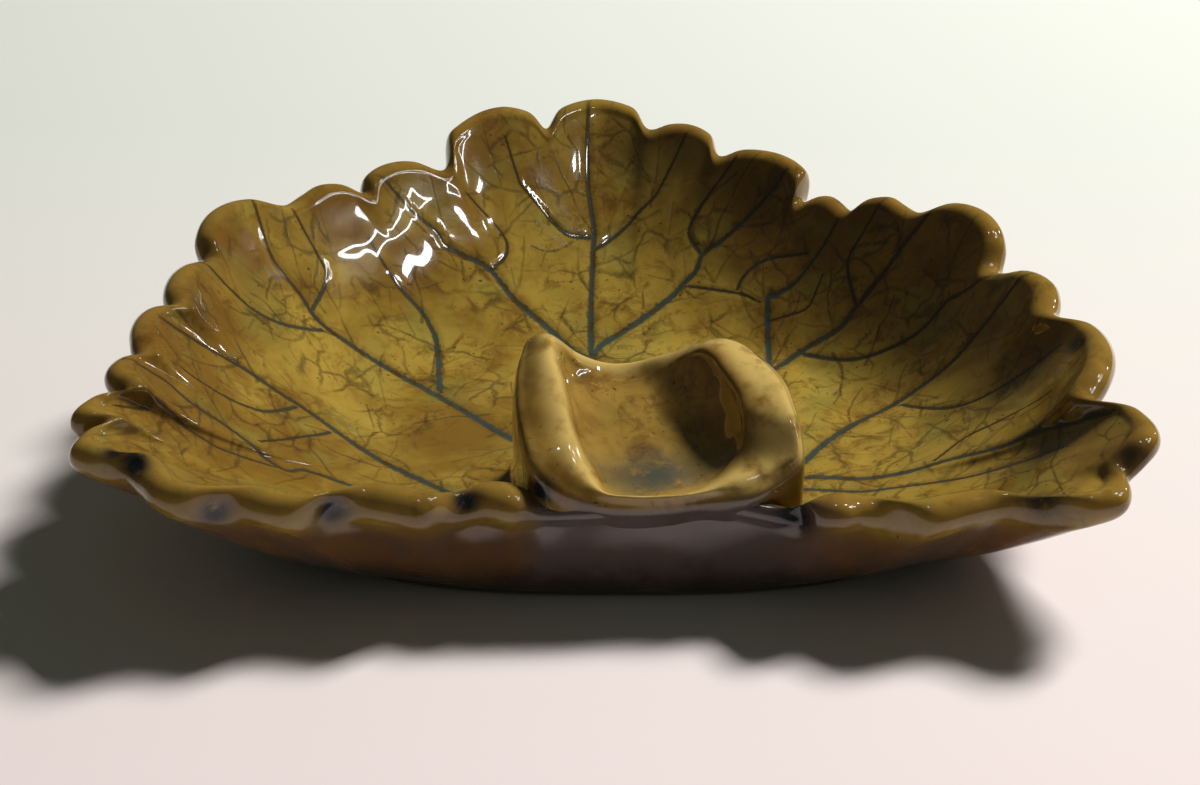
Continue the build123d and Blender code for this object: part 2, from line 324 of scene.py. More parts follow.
# the veins that the leaf pressed in: width at the start and at the tip, colour there (1 teal, 0 brown), places
veins = {
    "midrib": (1.2, 0.6, 1.0, 0.2, ((1, -24), (-1, -8), (-2, 4), (-3, 15.7), (-3.2, 24.3), (-2.9, 33.1), (-2.8, 35.7),
               (-3.1, 37.7), (-3.6, 41.1), (-3.7, 45.1), (-3.6, 48.4))),
    "midLeft": (0.7, 0.4, 0.5, 0.0, ((-3.3, 34.8), (-6, 34.9), (-7.9, 36), (-9.3, 37.3), (-10.6, 38.5),
               (-12.4, 40.1), (-13, 41.2))),
    "midRight": (0.7, 0.4, 0.5, 0.0, ((-2.4, 33.5), (-1.3, 34.1), (0.6, 35.3), (2.6, 36.8), (4, 37.6),
               (5.3, 38.4), (7, 40.4))),
    "rightTwo": (1.2, 0.5, 1.0, 0.3, ((-3, 15.5), (-2, 18.9), (3.2, 23.1), (7.1, 25.9), (8.7, 27.3), (10.4, 28.6),
               (11.4, 30.5),
                 (13.6, 31.1), (15.6, 31.9), (17.5, 32.7), (18.8, 33.2))),
    "rightTwoA": (0.6, 0.35, 0.3, 0.0, ((11.1, 30.6), (9.7, 33), (10.1, 34.6), (11.8, 36.1), (12.7, 36.7))),
    "rightTwoB": (0.4, 0.25, 0.3, 0.0, ((9.7, 26.8), (15.4, 24.8), (17.9, 23.5))),
    "leftTwo": (1.3, 0.5, 1.0, 0.2, ((-3, 15.5), (-5.2, 17.7), (-9.1, 22.2), (-13, 25.4), (-16.3, 28.8),
               (-19.9, 29.6), (-22.1, 30),
                (-23.4, 31.2), (-27.9, 32.5))),
    "leftTwoA": (0.6, 0.35, 0.3, 0.0, ((-16.1, 28.9), (-14.4, 31), (-14.2, 32.8), (-15.1, 34.1), (-16.2, 34.9))),
    "leftThree": (1.4, 0.5, 1.0, 0.1, ((1, -24), (-9, -8.3), (-14.1, -2.6), (-21.8, 5.9), (-25.8, 10),
               (-29.6, 11.6), (-33.4, 12.6),
                  (-37.3, 13.5), (-39.6, 15.3), (-42.7, 16.5), (-44.4, 19.4))),
    "leftThreeA": (1.0, 0.5, 0.9, 0.2, ((-21.9, 7.6), (-22.7, 16.9), (-23.7, 19.6), (-25, 21.2), (-27.4, 22.8),
               (-28.9, 24.1))),
    "leftThreeB": (0.6, 0.4, 0.5, 0.0, ((-37, 12.1), (-41.5, 8.8), (-44.9, 7.6), (-47.7, 7.7))),
    "leftThreeC": (0.6, 0.4, 0.5, 0.0, ((-38, 14.5), (-36.5, 19.4), (-37.8, 21.2))),
    "leftFour": (1.2, 0.5, 0.9, 0.1, ((1, -25), (-14, -20), (-23.2, -13.1), (-31.9, -6.4), (-36.9, -3.7),
               (-40.4, -3.3), (-43.9, -3.1),
                 (-47.1, -4), (-49.8, -5.1))),
    "leftFourA": (0.6, 0.35, 0.3, 0.0, ((-38.6, -4.5), (-41.6, -8.7), (-44.8, -10.6), (-46.9, -11.3))),
    "leftFourB": (0.6, 0.35, 0.3, 0.0, ((-34.8, -6.8), (-38, -10.5), (-40.5, -13.6))),
    "leftFive": (0.9, 0.4, 0.6, 0.1, ((1, -26), (-20, -19), (-34.6, -15.8), (-37.9, -17.5), (-39.6, -17.3),
               (-43.1, -16.1), (-45.9, -15.9),
                 (-49.1, -16.1), (-51.3, -15.7), (-52.8, -16.1))),
    "leftFiveA": (0.5, 0.3, 0.2, 0.0, ((-39.6, -17.9), (-44.9, -19.7), (-47.6, -20), (-51.2, -20.6), (-52.8, -21.6))),
    "rightSmall": (0.9, 0.4, 1.0, 0.5, ((19.4, 12.7), (19.5, 22.6), (20.4, 23.4), (22.3, 23.8), (23.5, 24.3),
               (25.3, 25.4))),
    "rightSmallA": (0.5, 0.35, 0.6, 0.2, ((15.8, 25.3), (16.4, 26.2), (18, 27.1), (20.5, 27.4), (23.4, 26.8))),
    "rightSmallC": (0.35, 0.25, 0.1, 0.0, ((20, 20.8), (24.2, 20.8), (25.4, 21.9))),
    "rightThree": (1.3, 0.5, 1.0, 0.1, ((-1, -4), (10, 5), (18.7, 12.1), (23.4, 15.8), (28.5, 17.2), (30.4, 18.6),
               (34.2, 20.1), (36.6, 21),
                   (39, 21.4))),
    "rightThreeA": (0.7, 0.4, 0.5, 0.0, ((24, 15.1), (29.4, 12.5), (34.2, 11.5), (37.8, 11.2), (40.8, 11.9),
               (42.4, 11.3))),
    "rightThreeB": (0.5, 0.3, 0.2, 0.0, ((30.4, 19), (29.6, 22.4), (29.9, 23.9), (31.7, 25.1))),
    "rightFour": (1.3, 0.5, 1.0, 0.1, ((2, -25), (14, -20), (21.7, -10.2), (25.7, -4.4), (29.7, -0.1),
               (34.1, 2.1), (37.8, 3.4), (41.3, 4.1),
                  (44.3, 5), (47.1, 5.3))),
    "rightFourA": (0.6, 0.35, 0.4, 0.0, ((35.2, 1), (39.5, -3), (43.3, -4.9), (48.2, -6))),
    "rightFive": (1.2, 0.5, 1.0, 0.3, ((2, -26), (14, -16), (21.9, -13.1), (28.5, -13.5), (34.4, -13.6),
               (39.4, -14.4), (44.1, -17.2),
                  (48.2, -19.1), (52.1, -21.5))),
    "rightFiveA": (0.5, 0.3, 0.3, 0.0, ((37.7, -12.8), (40.9, -11), (44.8, -11.7), (46.4, -12.2))),
    "rightSix": (0.8, 0.5, 0.9, 0.3, ((2, -26), (14, -17.5), (21.7, -15.8), (28.3, -16.6), (36.2, -17.5),
               (43.7, -20.6), (47.8, -22.5))),
}


def veinPieces(table):
    # short straight bits: start, end, half width and colour at both ends
    bits = []
    for wide, thin, deepTint, tipTint, places in table.values():
        line = readLine(places, np.linspace(0, len(places) - 1, (len(places) - 1) * 4 + 1))
        share = np.linspace(0, 1, len(line))
        half = (wide + (thin - wide) * share) / 2
        tint = deepTint + (tipTint - deepTint) * share
        for i in range(len(line) - 1):
            bits.append((*line[i], *line[i + 1], half[i], half[i + 1], tint[i], tint[i + 1]))
    return np.array(bits)


veinBits = veinPieces(veins)


def nearestVein(plan, bits):
    # for each place: the nearest bit's number and how far it is, in half widths and in millimetres
    start, end = bits[:, :2], bits[:, 2:4]
    run = end - start
    length = np.maximum((run ** 2).sum(1), 1e-9)
    nearest = np.zeros(len(plan), int)
    gap = np.zeros(len(plan))
    for first in range(0, len(plan), 4000):
        part = plan[first:first + 4000, None, :] - start[None]
        share = np.clip((part * run[None]).sum(2) / length, 0, 1)
        away = np.linalg.norm(part - share[..., None] * run[None], axis=2)
        best = away.argmin(1)
        nearest[first:first + 4000] = best
        gap[first:first + 4000] = away[np.arange(len(best)), best]
    return nearest, gap


def besideVein(plan, bits, pick):
    # signed distance to the chosen bit's line, and its half width and colour there
    start, run = bits[pick, :2], bits[pick, 2:4] - bits[pick, :2]
    size = np.maximum(np.linalg.norm(run, axis=1), 1e-9)
    off = plan - start
    side = (run[:, 0] * off[:, 1] - run[:, 1] * off[:, 0]) / size
    share = np.clip((off * run).sum(1) / size ** 2, 0, 1)
    half = bits[pick, 4] + (bits[pick, 5] - bits[pick, 4]) * share
    tint = bits[pick, 6] + (bits[pick, 7] - bits[pick, 6]) * share
    return side, half, tint


# small veins grow out of the main ones, by turns to the left and to the right
twigKinds = ((3.6, 9.0, 0.46, 0.8), (2.2, 4.6, 0.34, 0.45))    # how far apart, how long, how wide, how dark
touching = 0.55                                                # a twig ends this near to another one


def walkLine(places, step):
    # even steps along a smooth line
    line = readLine(places, np.linspace(0, len(places) - 1, (len(places) - 1) * 12 + 1))
    run = np.concatenate([[0], np.cumsum(np.linalg.norm(np.diff(line, axis=0), axis=1))])
    spots = np.arange(0, run[-1], step)
    return np.stack([np.interp(spots, run, line[:, i]) for i in (0, 1)], axis=1)


def growTwigs(seed, step=0.7):
    chance = np.random.default_rng(seed)
    lines = [walkLine(row[4], step) for row in veins.values()]
    known = np.concatenate(lines)
    twigs = []
    for apart, longest, wide, dark in twigKinds:
        grown = []
        for line in lines:
            side = 1
            spot = chance.uniform(0.4, 1.2) * apart / step
            while spot < len(line) - 2:
                at = int(spot)
                ahead = line[at + 1] - line[at]
                heading = math.atan2(ahead[1], ahead[0]) + side * chance.uniform(0.7, 1.35)
                place, path = line[at], [line[at]]
                for count in range(int(longest * chance.uniform(0.35, 1.0) / step)):
                    heading += chance.normal(0, 0.17) - side * 0.045
                    place = place + step * np.array([math.cos(heading), math.sin(heading)])
                    path.append(place)
                    if count > 1 and np.linalg.norm(known - place, axis=1).min() < touching:
                        break
                if len(path) > 2:
                    grown.append(np.array(path))
                    known = np.concatenate([known, path[3:]]) if len(path) > 3 else known
                side = -side
                spot += chance.uniform(0.6, 1.4) * apart / step
        for path in grown:
            faint = dark * chance.uniform(0.45, 1.0)
            for i in range(len(path) - 1):
                thin = 1 - 0.5 * i / len(path)
                twigs.append((*path[i], *path[i + 1], wide / 2 * thin, wide / 2 * thin, faint, faint))
        lines = grown
    return np.array(twigs)


twigBits = growTwigs(7)
print("small veins", len(twigBits))

# press the veins in and let the clay between them stand a little proud
prints = {
    "wide": 1.1, "deep": 0.03, "deepForHalf": 0.24,            # the groove, for a vein of so many half widths
    "between": 0.05, "betweenFrom": 0.8, "betweenTo": 4.5,     # the clay between the veins
    "brim": 0.03, "brimAt": 2.4, "brimWide": 0.5,              # the clay pushed up beside a vein
    "fadeRings": 9,
}
unevenness = ((9.0, 1, 0.13), (3.5, 2, 0.035))                 # size of the waves, seed and height
inside = dishShape[insideFrom:]
plan = inside[..., :2].reshape(-1, 2)
pick, gap = nearestVein(plan, veinBits)
half = besideVein(plan, veinBits, pick)[1]
groove = np.exp(-(gap / (half * prints["wide"])) ** 2) * (prints["deep"] + prints["deepForHalf"] * half)
puff = (prints["between"] * easeBetween(prints["betweenFrom"], prints["betweenTo"], gap)
        + prints["brim"] * np.exp(-((gap - prints["brimAt"] * half) / prints["brimWide"]) ** 2))
press = (puff - groove).reshape(inside.shape[:2])
fade = easeBetween(0, prints["fadeRings"], np.arange(len(inside)))
normals = outwards(dishShape)
if normals[-3, 5, 2] < 0:
    normals = -normals
dishShape[insideFrom:] += normals[insideFrom:] * (press * fade[:, None])[..., None]
hands = sum(wobble(dishShape, size, seed) * height for size, seed, height in unevenness)
hands[:dish["footRings"] + dish["toeRings"]] = 0
dishShape += normals * hands[..., None]

# pits and pools of the rim: place, width, how deep the clay is dented, how dark the glaze is there
pitShade = 1.6
pits = (
    (-52.5, -33.9, 19.3, 1.5, 0.7, 1.0), (-43.4, -38.0, 15.5, 1.6, 0.7, 1.0), (-30.8, -36.1, 14.3, 1.7, 0.9, 1.0),
    (-16.7, -33.6, 14.2, 1.3, 0.6, 1.0), (-8.5, -32.4, 14.8, 1.5, 0.8, 1.0), (19.0, -34.6, 12.6, 2.1, 0.9, 1.0),
    (46.0, 8.2, 20.9, 1.4, 0.5, 0.9), (45.7, -36.1, 15.8, 2.4, 0.3, 0.6), (55.7, -32.3, 19.2, 1.8, 0.3, 0.5),
    (-54.6, -33.6, 20.4, 1.3, 0.3, 0.7), (-48.5, -1.0, 20.8, 1.6, 0.3, 0.6), (52.5, -9.0, 20.5, 1.4, 0.4, 0.9),
)


def pitMark(places):
    dark = np.zeros(places.shape[:-1])
    for x, y, z, wide, _, shade in pits:
        dark = np.maximum(dark, shade * np.exp(-(np.linalg.norm(places - (x, y, z), axis=-1) / wide) ** 2))
    return np.clip(dark * pitShade, 0, 1)


for x, y, z, wide, deep, _ in pits:
    near = np.exp(-(np.linalg.norm(dishShape - (x, y, z), axis=-1) / wide) ** 2)
    dishShape -= normals * (near * deep)[..., None]
print("veins pressed in")

# the CAD dish's own middle, so that the new one sits on it
cadLow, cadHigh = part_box("leaf_dish")
ownLow, ownHigh = dishShape.reshape(-1, 3).min(0), dishShape.reshape(-1, 3).max(0)
home = Vector(((cadLow[0] + cadHigh[0]) / 2 / mm - (ownLow[0] + ownHigh[0]) / 2,
               (cadLow[1] + cadHigh[1]) / 2 / mm - (ownLow[1] + ownHigh[1]) / 2, 0))
print("home", tuple(round(value, 3) for value in home))


# glazes

def makeGlaze(name, look):
    material = bpy.data.materials.new(name)
    material.use_nodes = True
    tree = material.node_tree
    tree.nodes.clear()

    def add(kind, values, **settings):
        # a node with its settings first, then its plain values and its links
        node = tree.nodes.new(kind)
        for key, value in settings.items():
            setattr(node, key, value)
        for socket, value in values.items():
            if isinstance(value, bpy.types.NodeSocket):
                tree.links.new(value, node.inputs[socket])
            else:
                node.inputs[socket].default_value = value
        return node

    def cloud(size, detail=3.0, rough=0.55, warp=0.0, output="Fac"):
        # a noise from 0 to 1 whose blots are so many millimetres wide
        return add("ShaderNodeTexNoise", {
            "Vector": spot, "Scale": 1 / (size * mm), "Detail": detail, "Roughness": rough, "Distortion": warp,
        }).outputs[output]

    def steps(value, low, high, toLow=0.0, toHigh=1.0):
        return add("ShaderNodeMapRange", {
            "Value": value, "From Min": low, "From Max": high, "To Min": toLow, "To Max": toHigh,
        }, interpolation_type="SMOOTHSTEP").outputs["Result"]

    def sums(how, a, b=0.0, c=0.0):
        return add("ShaderNodeMath", {0: a, 1: b, 2: c}, operation=how).outputs[0]

    def blend(share, a, b, strength=1.0):
        # the second colour laid over the first one
        if strength != 1.0:
            share = sums("MULTIPLY", share, strength)
        return add("ShaderNodeMix", {0: share, 6: a, 7: b}, data_type="RGBA").outputs[2]

    def both(a, b):
        return sums("MULTIPLY", a, b)

    def without(value):
        return sums("SUBTRACT", 1.0, value)

    def mark(label):
        return add("ShaderNodeAttribute", {}, attribute_name=label).outputs["Fac"]

    spot = add("ShaderNodeTexCoord", {}).outputs["Object"]
    upright = add("ShaderNodeSeparateXYZ", {"Vector": spot}).outputs["Z"]
    middling = cloud(5, 5, 0.65, 0.6)

    # clouds of glaze, washed-out brown and specks
    color = blend(steps(cloud(14, 4, 0.6, 0.4), 0.35, 0.66), look["deep"], look["light"])
    color = blend(steps(middling, 0.52, 0.72), color, look["blot"], 0.75)
    color = blend(steps(cloud(8, 3, 0.5), 0.50, 0.68), color, look["green"], 0.35)
    color = blend(steps(cloud(1.1, 4, 0.7), 0.58, 0.8), color, look["blot"], 0.35)
    washed = both(steps(cloud(2.4, 6, 0.7, 1.2), 0.50, 0.60), steps(cloud(11, 2), 0.42, 0.60))
    color = blend(washed, color, look["blot"], 0.45)
    speck = both(steps(cloud(0.55, 1), 0.70, 0.745), steps(cloud(6.0, 2), 0.45, 0.55))
    color = blend(speck, color, look["line"], 0.8)
    height = sums("MULTIPLY", middling, 0.25)

    if look["printed"]:
        # browner up towards the rim
        brown = both(steps(upright, 11 * mm, 21 * mm), steps(cloud(9.0, 4, 0.6), 0.34, 0.60, 0.25, 1.0))
        color = blend(brown, color, look["blot"], 0.50)
        # the small veins of the print
        frayed = both(sums("ABSOLUTE", mark("twigGap")), sums("MULTIPLY_ADD", cloud(0.5, 3), 1.0, 0.5))
        twig = both(without(steps(frayed, 0.4, 1.5)), mark("twigDark"))
        twig = both(twig, steps(cloud(4.0, 3), 0.30, 0.52, 0.25, 1.0))
        color = blend(twig, color, look["line"], 0.8)
        height = sums("SUBTRACT", height, sums("MULTIPLY", twig, 0.10))
        # a net of still smaller veins
        bend = (look["netBend"] * mm,) * 3
        bent = add("ShaderNodeVectorMath", {0: cloud(3.0, 3.0, 0.5, output="Color"), 1: bend, 2: spot},
                   operation="MULTIPLY_ADD").outputs[0]
        cell = add("ShaderNodeTexVoronoi", {"Vector": bent, "Scale": 1 / (look["netSize"] * mm)},
                   feature="DISTANCE_TO_EDGE").outputs["Distance"]
        net = both(without(steps(cell, 0.010, 0.075)), steps(cloud(6.0, 2), 0.42, 0.60))
        color = blend(both(net, mark("inner")), color, look["line"], 0.55)
        height = sums("SUBTRACT", height, sums("MULTIPLY", net, 0.06))
        # the veins themselves, ragged and with a soft edge
        ragged = both(sums("ABSOLUTE", mark("veinGap")), sums("MULTIPLY_ADD", cloud(0.5, 3), 1.3, 0.35))
        color = blend(without(steps(ragged, 0.8, 3.2)), color, look["line"], 0.16)
        tinted = blend(both(mark("veinTint"), steps(cloud(2.2, 3), 0.34, 0.52)), look["line"], look["teal"])
        color = blend(without(steps(ragged, 0.50, 1.25)), color, tinted, 0.92)

    # the glaze is thin on the edges, and on the saddle the pale edge is also painted highlight on the lit ridge tops;
    # the clay shows on the wall, and the pits are full
    color = blend(both(mark("edge"), steps(cloud(3.0, 4), *look["worn"])), color, look["edge"])
    wall = blend(steps(cloud(6.0, 4), 0.40, 0.62), look["wall"], look["clay"])
    # the grey-lavender apron is partly painted reflection of the pale table, partly the bare clay's own colour
    wall = blend(both(mark("bay"), steps(cloud(9.0, 4), 0.30, 0.50, 0.55, 1.0)), wall, look["apron"])
    # painted shade: the bare wall is darkened towards the foot, under the belly
    uneven = sums("MULTIPLY_ADD", cloud(5.0, 3), 6 * mm, upright)
    wall = blend(steps(uneven, 3.5 * mm, 9.5 * mm, 0.85, 0.0), wall, look["footShade"])
    color = blend(mark("wall"), color, wall)
    color = blend(both(mark("notch"), steps(cloud(1.6, 3), 0.25, 0.50)), color, look["notch"])
    color = blend(both(mark("pool"), steps(cloud(2.0, 3), 0.15, 0.45)), color, look["pool"])

    bump = add("ShaderNodeBump", {"Strength": gloss["bump"], "Distance": gloss["relief"] * mm, "Height": height})
    shader = add("ShaderNodeBsdfPrincipled", {
        "Base Color": color, "Roughness": gloss["rough"], "IOR": gloss["bend"], "Specular IOR Level": gloss["under"],
        "Coat Weight": 1.0, "Coat Roughness": gloss["coatRough"], "Coat IOR": gloss["coatBend"],
        "Normal": bump.outputs["Normal"]})
    add("ShaderNodeOutputMaterial", {"Surface": shader.outputs[0]})
    return material


# what both glazes share: the clear coat on top mirrors, the coloured layer under it hardly does
gloss = {"rough": 0.16, "bend": 1.52, "under": 0.15, "coatRough": 0.03, "coatBend": 1.5, "bump": 0.35, "relief": 0.4}
# the bare wall is the same on both pieces; its foot colour is painted shade, and its grey apron is partly painted
# reflection of the pale table
bare = {"clay": tone(98, 72, 50), "apron": tone(98, 84, 80), "footShade": tone(52, 36, 20)}
dishLook = {
    **bare, "printed": True, "worn": (0.30, 0.58), "netSize": 4.8, "netBend": 2.2,
    "deep": tone(120, 88, 28), "light": tone(162, 133, 52), "blot": tone(96, 60, 18), "green": tone(128, 128, 60),
    "line": tone(60, 44, 22), "teal": tone(46, 66, 64), "edge": tone(146, 112, 46), "notch": tone(62, 40, 18),
    "wall": tone(114, 78, 42), "pool": tone(24, 27, 34),
}
saddleLook = {
    **bare, "printed": False, "worn": (0.24, 0.56),
    "deep": tone(118, 84, 30), "light": tone(164, 130, 58), "blot": tone(94, 60, 22), "green": tone(126, 116, 56),
    # the pale edge colour is partly painted highlight on the lit ridge tops
    "line": tone(62, 44, 20), "edge": tone(198, 166, 94), "notch": tone(24, 26, 34),
    "wall": tone(74, 56, 44), "pool": tone(66, 72, 68),
}
dishGlaze = makeGlaze("dishGlaze", dishLook)
saddleGlaze = makeGlaze("saddleGlaze", saddleLook)


def writeMark(mesh, label, values, domain="POINT"):
    layer = mesh.attributes.new(label, "FLOAT", domain)
    layer.data.foreach_set("value", np.asarray(values, dtype=np.float32))


clay = roundBlank("leafDish", dishShape.shape[0], dishShape.shape[1])
seats = np.array(shapeClay(clay, dishShape, home))
leafDish = finishPiece(clay, "leafDish", dishGlaze)
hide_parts("leaf_dish")

mesh = leafDish.data
spots = np.zeros(len(mesh.vertices) * 3)
mesh.vertices.foreach_get("co", spots)
spots = spots.reshape(-1, 3) / mm - np.array(home)
ringOf = seats[:, 0]
bayAt = bayShare[seats[:, 1]]
# on which rings, counted from the lip's first, each kind of glaze lies
marks = {
    "edgeAt": 9, "edgeWide": 6.0, "wallTop": 3, "wallFoot": -3, "bayTop": 16, "bayFoot": 10,
    "notchAt": 12, "notchWide": 8.0, "notchFull": 2.2, "notchDark": 0.35,
}
edgeMark = np.exp(-((ringOf - lipFrom - marks["edgeAt"]) / marks["edgeWide"]) ** 2) * (1 - bayAt)
wallMark = np.maximum(easeBetween(lipFrom + marks["wallTop"], lipFrom + marks["wallFoot"], ringOf),
                      bayAt * easeBetween(lipFrom + marks["bayTop"], lipFrom + marks["bayFoot"], ringOf))
innerMark = easeBetween(insideFrom - 2, insideFrom + 8, ringOf)
notchMark = (np.clip(shallow / marks["notchFull"], 0, 1)[seats[:, 1]] * marks["notchDark"] * (1 - bayAt)
             * np.exp(-((ringOf - lipFrom - marks["notchAt"]) / marks["notchWide"]) ** 2))
for label, values in (("edge", edgeMark), ("wall", wallMark), ("inner", innerMark), ("pool", pitMark(spots)),
                      ("bay", bayAt), ("notch", notchMark)):
    writeMark(mesh, label, values)

# the veins are marked on every corner of a face from the one bit nearest to that face
corners = np.zeros(len(mesh.loops), int)
mesh.loops.foreach_get("vertex_index", corners)
middles = np.zeros(len(mesh.polygons) * 3)
mesh.polygons.foreach_get("center", middles)
middles = middles.reshape(-1, 3) / mm - np.array(home)
counts = np.zeros(len(mesh.polygons), int)
mesh.polygons.foreach_get("loop_total", counts)
pick, gap = nearestVein(middles[:, :2], veinBits)
twigTree = kdtree.KDTree(len(twigBits))
for number, bit in enumerate(twigBits):
    twigTree.insert(((bit[0] + bit[2]) / 2, (bit[1] + bit[3]) / 2, 0), number)
twigTree.balance()
twigPick = np.array([twigTree.find((x, y, 0))[1] for x, y in middles[:, :2]])
side, half, tint = besideVein(spots[corners][:, :2], veinBits, np.repeat(pick, counts))
onInside = innerMark[corners] > 0.02
far = np.repeat(gap, counts) > 4
veinGap = np.where(onInside & ~far, side / half, 9.0)
writeMark(mesh, "veinGap", veinGap, "CORNER")
writeMark(mesh, "veinTint", tint, "CORNER")
side, half, dark = besideVein(spots[corners][:, :2], twigBits, np.repeat(twigPick, counts))
writeMark(mesh, "twigGap", np.where(onInside, side / half, 9.0), "CORNER")
writeMark(mesh, "twigDark", dark, "CORNER")
print("leaf dish", len(mesh.polygons), "faces")

# the saddle rest
saddle = {
    "right": 4.0, "front": 22.5, "reach": 18.0, "height": 24.0, "root": 3.0, "shoulderDrop": 2.6,
    "browDrop": 1.0, "browLift": 0.75,                         # the brow is higher on the right
    "trough": 16.0, "troughFall": 0.26, "frontFall": 0.28,
    "wallPower": 6.0, "wallTilt": 1.4, "wallSoft": 3.0, "softTurn": 62, "softWide": 34,
    "wallShares": (0.93, 0.84, 0.70, 0.50), "floorShare": 0.30,
    "spokes": 300, "levelRings": 100,
    "apron": (222, 238, 312, 328),                             # directions between which the front is bare clay
    "poolRight": 4.4, "poolFront": 28.6, "poolWide": 5.6, "poolDeep": 3.4, "poolShade": 0.9,
    "unevenness": ((5.0, 3, 0.14), (2.0, 4, 0.035)),
}
# direction, root, outer shoulder, crest, brow and rise
saddleShares = np.array((
    (10.0, 0.87, 0.84, 0.70, 0.50, 0.950), (24.0, 0.87, 0.80, 0.67, 0.48, 0.975),
    (38.0, 0.85, 0.76, 0.66, 0.49, 0.990), (52.0, 0.80, 0.70, 0.61, 0.49, 0.985),
    (66.0, 0.76, 0.68, 0.58, 0.49, 0.925), (81.0, 0.74, 0.67, 0.56, 0.48, 0.860),
    (98.0, 0.75, 0.68, 0.59, 0.50, 0.810), (117.0, 0.83, 0.76, 0.65, 0.56, 0.815),
    (130.0, 0.96, 0.88, 0.74, 0.66, 0.870), (140.0, 1.08, 1.01, 0.85, 0.75, 0.975),
    (152.0, 1.01, 0.96, 0.75, 0.67, 0.965), (166.0, 0.93, 0.90, 0.66, 0.58, 0.945),
    (182.0, 0.89, 0.87, 0.61, 0.53, 0.900), (198.0, 0.90, 0.87, 0.60, 0.52, 0.845),
    (213.0, 0.84, 0.90, 0.63, 0.53, 0.785), (225.0, 0.62, 0.84, 0.65, 0.53, 0.705),
    (240.0, 0.30, 0.705, 0.66, 0.58, 0.630), (258.0, 0.24, 0.615, 0.60, 0.54, 0.605),
    (280.0, 0.24, 0.585, 0.58, 0.52, 0.600), (300.0, 0.28, 0.645, 0.63, 0.55, 0.615),
    (314.0, 0.40, 0.80, 0.70, 0.58, 0.650), (326.0, 0.68, 0.90, 0.81, 0.60, 0.690),
    (336.0, 0.96, 1.00, 0.92, 0.63, 0.760), (344.0, 0.94, 0.95, 0.85, 0.60, 0.850),
    (356.0, 0.89, 0.88, 0.76, 0.55, 0.910),
))


def shapeSaddle():
    turns = np.radians(saddleShares[:, 0])
    root, shoulder, crest, brow = (saddleShares[:, i] * saddle["reach"] for i in range(1, 5))
    rise = saddleShares[:, 5] * saddle["height"]
    middle = np.array([saddle["right"], -saddle["front"]])
    plan = np.stack([crest * np.cos(turns), crest * np.sin(turns)], axis=1)
    places = alongLoop(plan)
    spotsRound = places[-1] * np.arange(saddle["spokes"]) / saddle["spokes"]
    shoulderRise = rise - saddle["shoulderDrop"]
    browRise = rise - saddle["browDrop"] * (1 - saddle["browLift"] * easeBetween(-0.3, 0.6, np.cos(turns)))

    def bottom(radii):
        fall = np.where(turns < math.pi, saddle["troughFall"], saddle["frontFall"])
        return saddle["trough"] + fall * radii * np.sin(turns)

    levels = [(root * 0.5, saddle["root"] + 0 * rise), (root, saddle["root"] + 0 * rise),
              ((root + 2 * shoulder) / 3, (saddle["root"] + shoulderRise) / 2), (shoulder, shoulderRise),
              ((2 * shoulder + crest) / 3, rise - saddle["shoulderDrop"] / 3), (crest, rise), (brow, browRise)]
    # the wall of the trough is steepest on the left and gentle in the far right corner
    soft = np.exp(-((saddleShares[:, 0] - saddle["softTurn"]) / saddle["softWide"]) ** 2)
    power = saddle["wallPower"] - saddle["wallTilt"] * np.cos(turns) - saddle["wallSoft"] * soft
    for share in saddle["wallShares"]:
        low = bottom(brow * share)
        levels.append((brow * share, low + (browRise - bottom(brow)) * share ** power))
    for share in (saddle["floorShare"], 0.0):
        levels.append((brow * share, bottom(brow * share)))
    rings = []
    for radii, rises in levels:
        points = np.stack([middle[0] + radii * np.cos(turns), middle[1] + radii * np.sin(turns), rises], axis=1)
        rings.append(readLoop(points, places, spotsRound))
    rings = np.array(rings)
    spots = np.concatenate([np.linspace(0, 1, 4)[:-1], np.linspace(1, len(rings) - 1, saddle["levelRings"])])
    return readLine(rings, spots), spots


saddleShape, saddleSpots = shapeSaddle()
foot = saddleShape[:1].copy()
foot[..., 0] = saddle["right"]
foot[..., 1] = -saddle["front"]
foot[..., 2] = saddle["root"]
saddleShape = np.concatenate([foot, saddleShape])
saddleSpots = np.concatenate([[0], saddleSpots])
normals = outwards(saddleShape)
if normals[-3, 5, 2] < 0:
    normals = -normals
hands = sum(wobble(saddleShape, size, seed) * height for size, seed, height in saddle["unevenness"])
saddleShape += normals * (hands * easeBetween(2.5, 4.5, saddleSpots)[:, None])[..., None]
clay = roundBlank("saddleRest", saddleShape.shape[0], saddleShape.shape[1])
seats = np.array(shapeClay(clay, saddleShape, home))
saddleRest = finishPiece(clay, "saddleRest", saddleGlaze)
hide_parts("saddle_rest")
at = saddleSpots[seats[:, 0]]
mesh = saddleRest.data
spots = np.zeros(len(mesh.vertices) * 3)
mesh.vertices.foreach_get("co", spots)
spots = spots.reshape(-1, 3) / mm - np.array(home)
way = np.degrees(np.arctan2(spots[:, 1] + saddle["front"], spots[:, 0] - saddle["right"])) % 360
rightRidge = easeBetween(280, 330, way) + (1 - easeBetween(70, 110, way))
